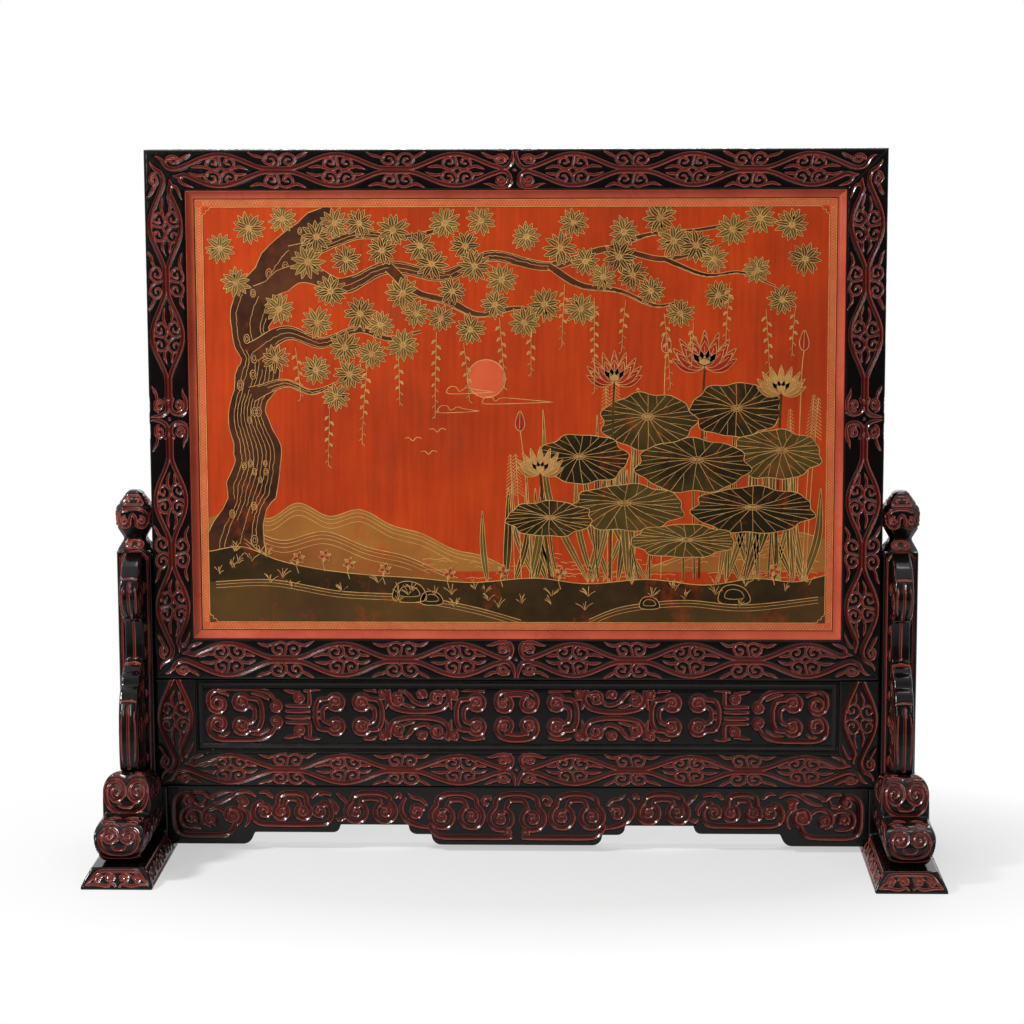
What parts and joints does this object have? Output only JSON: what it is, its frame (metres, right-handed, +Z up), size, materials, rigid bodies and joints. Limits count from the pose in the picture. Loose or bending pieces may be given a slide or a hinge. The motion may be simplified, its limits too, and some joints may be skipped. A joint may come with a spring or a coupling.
{
  "type": "lacquer table screen",
  "caption": "Table screen: a mitred frame holding a lacquer picture panel, dropped between the posts of a footed stand with spandrels, drum blocks and a cusped apron.",
  "frame": {"origin": "on the ground under the middle of the screen, halfway between the feet", "axes": "+X along the screen to the viewer's right, +Y away from the picture towards the back, +Z up"},
  "size_m": [0.7506, 0.296, 0.635],
  "materials": {
    "carved_lacquer": "thick black lacquer over red, carved with rounded grooves and polished",
    "black_moulding": "polished black lacquer",
    "red_moulding": "worn vermilion lacquer, semi-gloss",
    "picture_lacquer": "vermilion lacquer with gilt-lined painting, aged semi-gloss",
    "back_lacquer": "plain dark lacquer, aged",
    "core_wood": "planed softwood"
  },
  "bodies": {
    "stand": {"base_left": "carved_lacquer", "base_right": "carved_lacquer", "drum_left_front": "carved_lacquer", "drum_left_rear": "carved_lacquer", "drum_right_front": "carved_lacquer", "drum_right_rear": "carved_lacquer", "post_left": "carved_lacquer", "post_right": "carved_lacquer", "spandrel_left_front": "carved_lacquer", "spandrel_left_rear": "carved_lacquer", "spandrel_right_front": "carved_lacquer", "spandrel_right_rear": "carved_lacquer", "stand_crossrail": "carved_lacquer", "stand_stile_left": "carved_lacquer", "stand_stile_right": "carved_lacquer", "stand_lower_rail": "carved_lacquer", "waist_panel": "carved_lacquer", "waist_moulding_front": "black_moulding", "waist_moulding_rear": "black_moulding", "apron_front": "carved_lacquer", "apron_rear": "carved_lacquer", "stand_dowels": "core_wood"},
    "screen": {"frame_top_rail": "carved_lacquer", "frame_bottom_rail": "carved_lacquer", "frame_stile_left": "carved_lacquer", "frame_stile_right": "carved_lacquer", "picture_panel": "picture_lacquer", "back_panel": "back_lacquer", "panel_battens": "core_wood", "sight_moulding_front": "red_moulding", "sight_moulding_rear": "black_moulding", "frame_pegs": "core_wood"}
  },
  "joints": [
    {"name": "screen_lift", "type": "slide", "parent": "stand", "child": "screen", "axis": [0, 0, 1], "range_m": [0, 0.18]}
  ]
}
